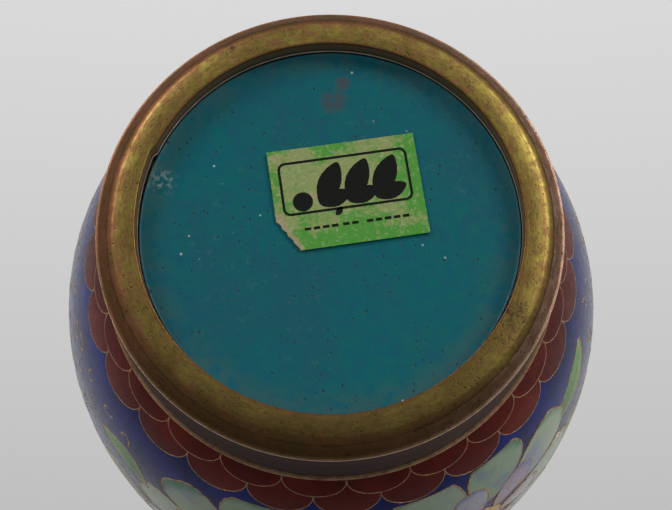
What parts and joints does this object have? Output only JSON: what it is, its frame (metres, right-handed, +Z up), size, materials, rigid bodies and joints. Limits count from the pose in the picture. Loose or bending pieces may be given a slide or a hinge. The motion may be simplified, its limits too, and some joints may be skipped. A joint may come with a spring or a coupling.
{
  "type": "cloisonne vase",
  "caption": "Round-bellied enamelled copper vase with a narrow flared neck, standing on a brass foot ring.",
  "frame": {"origin": "centre of the circle that the foot ring stands on", "axes": "+Z up along the vase's axis towards its mouth; -Y is the side at the bottom of the picture, and +X is at its left"},
  "size_m": [0.0894, 0.0894, 0.1752],
  "materials": {
    "foot_brass": "worn and tarnished, turned",
    "gilt_wire": "polished wire",
    "copper": "hammered copper, covered by enamel",
    "teal_enamel": "fired counter enamel, pitted",
    "red_enamel": "polished enamel",
    "cobalt_enamel": "polished enamel",
    "turquoise_enamel": "polished enamel",
    "label_paper": "matt coated paper"
  },
  "bodies": {
    "root": {"foot_ring": "foot_brass", "base_plate": "copper", "base_counter_enamel": "teal_enamel", "paper_label": "label_paper", "body_lower_shell": "copper", "body_upper_shell": "copper", "neck_shell": "copper", "lining_enamel": "teal_enamel", "scale_enamel": "red_enamel", "belly_enamel": "cobalt_enamel", "shoulder_enamel": "turquoise_enamel", "neck_enamel": "cobalt_enamel", "lip_enamel": "red_enamel", "foot_border_wire": "gilt_wire", "shoulder_wire_low": "gilt_wire", "shoulder_wire_high": "gilt_wire", "lip_border_wire": "gilt_wire", "scale_wire_lower": "gilt_wire", "scale_wire_upper": "gilt_wire", "mouth_rim": "foot_brass"}
  },
  "joints": []
}
